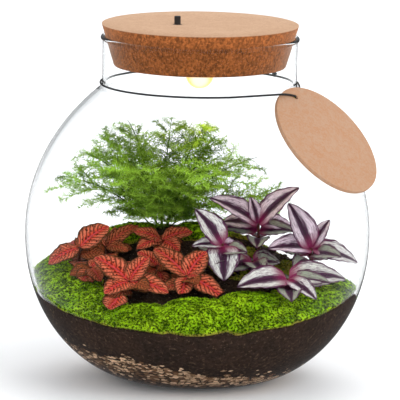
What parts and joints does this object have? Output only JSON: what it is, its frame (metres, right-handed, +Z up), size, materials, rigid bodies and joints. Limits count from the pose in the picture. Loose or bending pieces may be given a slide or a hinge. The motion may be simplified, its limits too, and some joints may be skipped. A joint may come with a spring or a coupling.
{
  "type": "glass plant terrarium",
  "caption": "Round glass jar garden with a cork lid that holds a small lamp, planted with fern, red and striped leaves and moss over soil.",
  "frame": {"origin": "centre of the jar's flat foot, on the surface that it stands on", "axes": "+Z up along the jar's axis, -Y towards the planted front, +X to the right, where the tag hangs"},
  "size_m": [0.2527, 0.25, 0.2648],
  "materials": {
    "glass": "clear, blown and polished",
    "cork": "fine pressed cork grain, matt",
    "tag_cork": "thin pressed cork disc, matt and bare",
    "black_plastic": "black, satin",
    "white_plastic": "white, satin",
    "lens": "milky diffuser, lit warm white",
    "board": "green circuit board",
    "led": "yellow phosphor square, lit",
    "cell": "bare steel case, satin",
    "cord": "black elastic cord, woven cover",
    "soil": "dark damp potting soil",
    "chips": "tan bark and clay chips, dry and matt",
    "moss": "fine bright green moss",
    "fern": "fine needle foliage, fresh green",
    "nerve_leaf": "olive red leaf with a net of coral veins",
    "inch_leaf": "silver and purple striped leaf, slight sheen"
  },
  "bodies": {
    "terrarium": {"glass_jar": "glass", "cork_lid": "cork", "lamp_housing": "white_plastic", "lamp_cover": "white_plastic", "lamp_lens": "lens", "lamp_board": "board", "lamp_led": "led", "battery_cell_1": "cell", "battery_cell_2": "cell", "battery_cell_3": "cell", "switch_sleeve": "black_plastic", "tag": "tag_cork", "neck_cord": "cord", "nerve_front_left": "nerve_leaf", "nerve_front_middle": "nerve_leaf", "nerve_back": "nerve_leaf", "nerve_left": "nerve_leaf", "nerve_left_back": "nerve_leaf", "nerve_left_low": "nerve_leaf", "nerve_middle": "nerve_leaf", "inch_back": "inch_leaf", "inch_right": "inch_leaf", "inch_middle": "inch_leaf", "inch_front": "inch_leaf", "inch_low": "inch_leaf", "fern_frond_01": "fern", "fern_frond_02": "fern", "fern_frond_03": "fern", "fern_frond_04": "fern", "fern_frond_05": "fern", "fern_frond_06": "fern", "fern_frond_07": "fern", "fern_frond_08": "fern", "fern_frond_09": "fern", "fern_frond_10": "fern", "fern_frond_11": "fern", "fern_frond_12": "fern", "drainage_chips": "chips", "soil": "soil", "moss_left": "moss", "moss_front": "moss", "moss_right": "moss", "moss_centre": "moss", "moss_back_left": "moss", "moss_back_right": "moss"},
    "button": {"switch_button": "black_plastic"}
  },
  "joints": [
    {"name": "button_press", "type": "slide", "parent": "terrarium", "child": "button", "axis": [0, 0, -1], "range_m": [0, 0.0015], "stiffness_N_per_m": 300}
  ]
}
